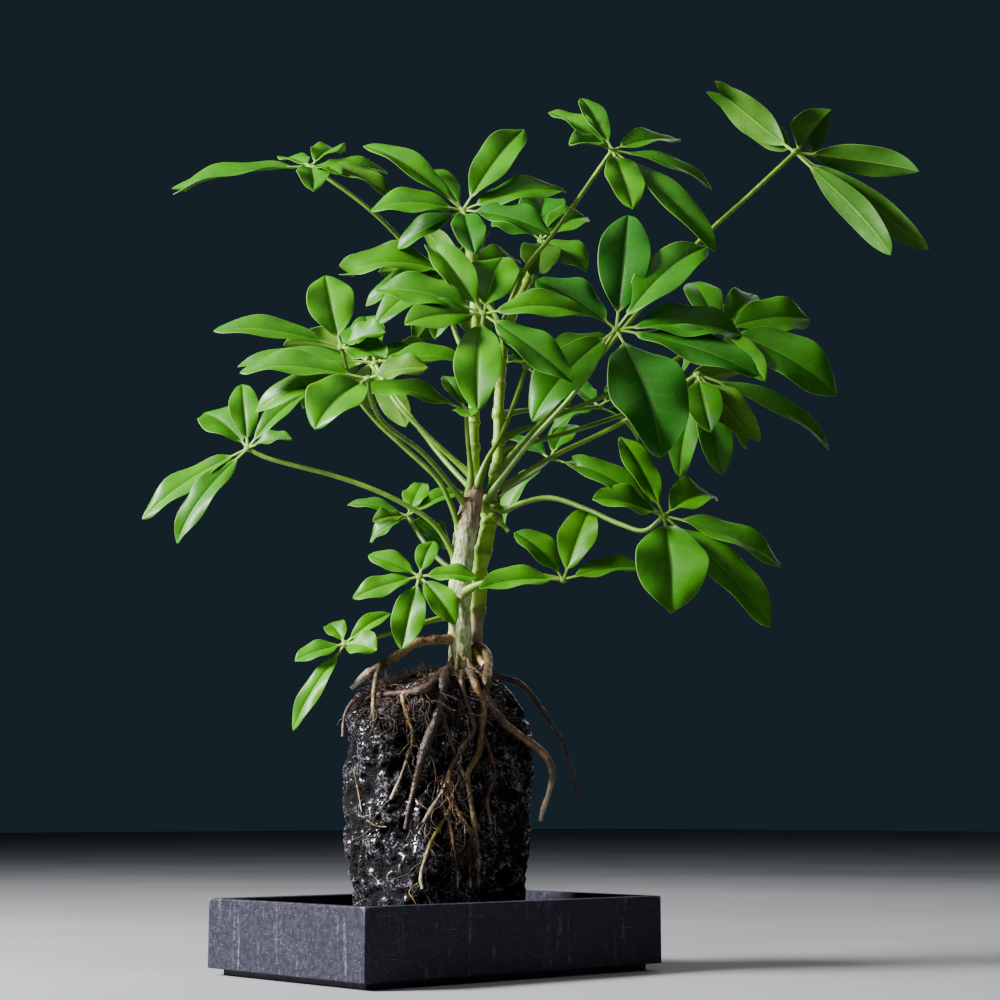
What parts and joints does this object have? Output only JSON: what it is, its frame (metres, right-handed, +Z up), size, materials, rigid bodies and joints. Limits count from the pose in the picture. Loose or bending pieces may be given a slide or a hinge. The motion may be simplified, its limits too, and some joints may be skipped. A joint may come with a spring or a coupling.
{
  "type": "potted umbrella plant",
  "caption": "Umbrella plant with whorls of glossy leaflets, grown with its roots over an upright lava rock that stands in a shallow rectangular dark tray.",
  "frame": {"origin": "centre of the flat underside of the tray's foot", "axes": "+Z up, +X along the tray's long side, +Y along its short side"},
  "size_m": [0.3053, 0.2912, 0.4224],
  "materials": {
    "tray_clay": "unglazed dark grey clay, speckled, with water marks",
    "lava": "wet black porous lava",
    "bark": "pale grey beige bark, matte",
    "green_stem": "young green stem with leaf scars",
    "root": "damp brown root, matte",
    "leaf_blade": "waxy green leaf",
    "leaf_stalk": "smooth pale green stalk"
  },
  "bodies": {
    "root": {"trunk": "bark", "green_stem": "green_stem", "aerial_root": "root", "roots": "root", "leaf_far_right_leaflets": "leaf_blade", "leaf_far_right_stalk": "leaf_stalk", "leaf_top_right_leaflets": "leaf_blade", "leaf_top_right_stalk": "leaf_stalk", "leaf_front_right_leaflets": "leaf_blade", "leaf_front_right_stalk": "leaf_stalk", "leaf_right_rear_leaflets": "leaf_blade", "leaf_right_rear_stalk": "leaf_stalk", "leaf_right_droop_leaflets": "leaf_blade", "leaf_right_droop_stalk": "leaf_stalk", "leaf_low_right_leaflets": "leaf_blade", "leaf_low_right_stalk": "leaf_stalk", "leaf_low_middle_leaflets": "leaf_blade", "leaf_low_middle_stalk": "leaf_stalk", "leaf_low_front_leaflets": "leaf_blade", "leaf_low_front_stalk": "leaf_stalk", "leaf_lowest_left_leaflets": "leaf_blade", "leaf_lowest_left_stalk": "leaf_stalk", "leaf_far_left_leaflets": "leaf_blade", "leaf_far_left_stalk": "leaf_stalk", "leaf_left_upper_leaflets": "leaf_blade", "leaf_left_upper_stalk": "leaf_stalk", "leaf_left_front_leaflets": "leaf_blade", "leaf_left_front_stalk": "leaf_stalk", "leaf_middle_small_leaflets": "leaf_blade", "leaf_middle_small_stalk": "leaf_stalk", "leaf_crown_front_leaflets": "leaf_blade", "leaf_crown_front_stalk": "leaf_stalk", "leaf_crown_left_leaflets": "leaf_blade", "leaf_crown_left_stalk": "leaf_stalk", "leaf_crown_top_leaflets": "leaf_blade", "leaf_top_left_leaflets": "leaf_blade", "leaf_top_left_stalk": "leaf_stalk", "leaf_crown_rear_leaflets": "leaf_blade", "leaf_low_rear_leaflets": "leaf_blade", "leaf_low_rear_stalk": "leaf_stalk", "leaf_rear_small_leaflets": "leaf_blade", "leaf_rear_small_stalk": "leaf_stalk", "leaf_rear_low_leaflets": "leaf_blade", "leaf_rear_low_stalk": "leaf_stalk", "leaf_middle_rear_leaflets": "leaf_blade", "leaf_middle_rear_stalk": "leaf_stalk", "leaf_left_rear_leaflets": "leaf_blade", "leaf_left_rear_stalk": "leaf_stalk", "leaf_back_left_leaflets": "leaf_blade", "leaf_back_left_stalk": "leaf_stalk", "leaf_back_top_leaflets": "leaf_blade", "leaf_back_top_stalk": "leaf_stalk", "leaf_back_right_leaflets": "leaf_blade", "leaf_back_right_stalk": "leaf_stalk", "tray": "tray_clay", "rock": "lava"}
  },
  "joints": []
}
